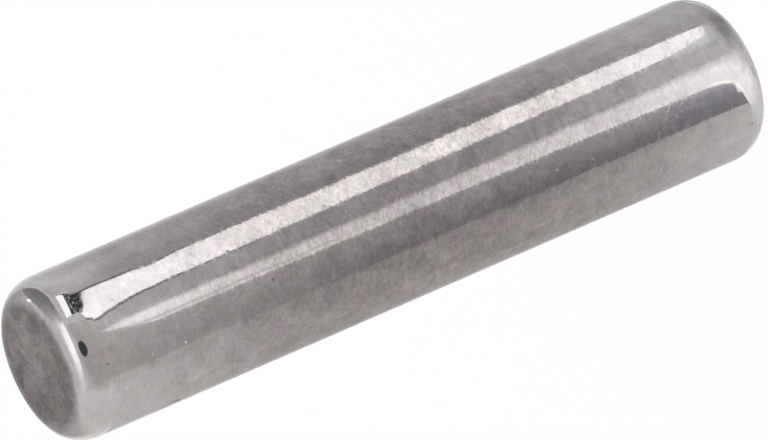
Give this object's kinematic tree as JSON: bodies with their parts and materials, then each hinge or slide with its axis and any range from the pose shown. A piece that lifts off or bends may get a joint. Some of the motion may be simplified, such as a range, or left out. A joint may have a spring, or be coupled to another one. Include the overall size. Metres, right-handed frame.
{
  "type": "needle roller",
  "caption": "Solid steel needle roller with a ground cylindrical side, flat end faces and rounded corners, standing on one end.",
  "frame": {"origin": "centre of the lower end face, on which the roller stands", "axes": "+Z along the roller's axis from the lower end face to the upper one; X and Y across it, and the roller is the same all round"},
  "size_m": [0.005, 0.005, 0.0238],
  "materials": {
    "bearing_steel": "fine ground side with a satin gleam, tumbled bright corners, dull mottled end faces"
  },
  "bodies": {
    "root": {"roller": "bearing_steel"}
  },
  "joints": []
}
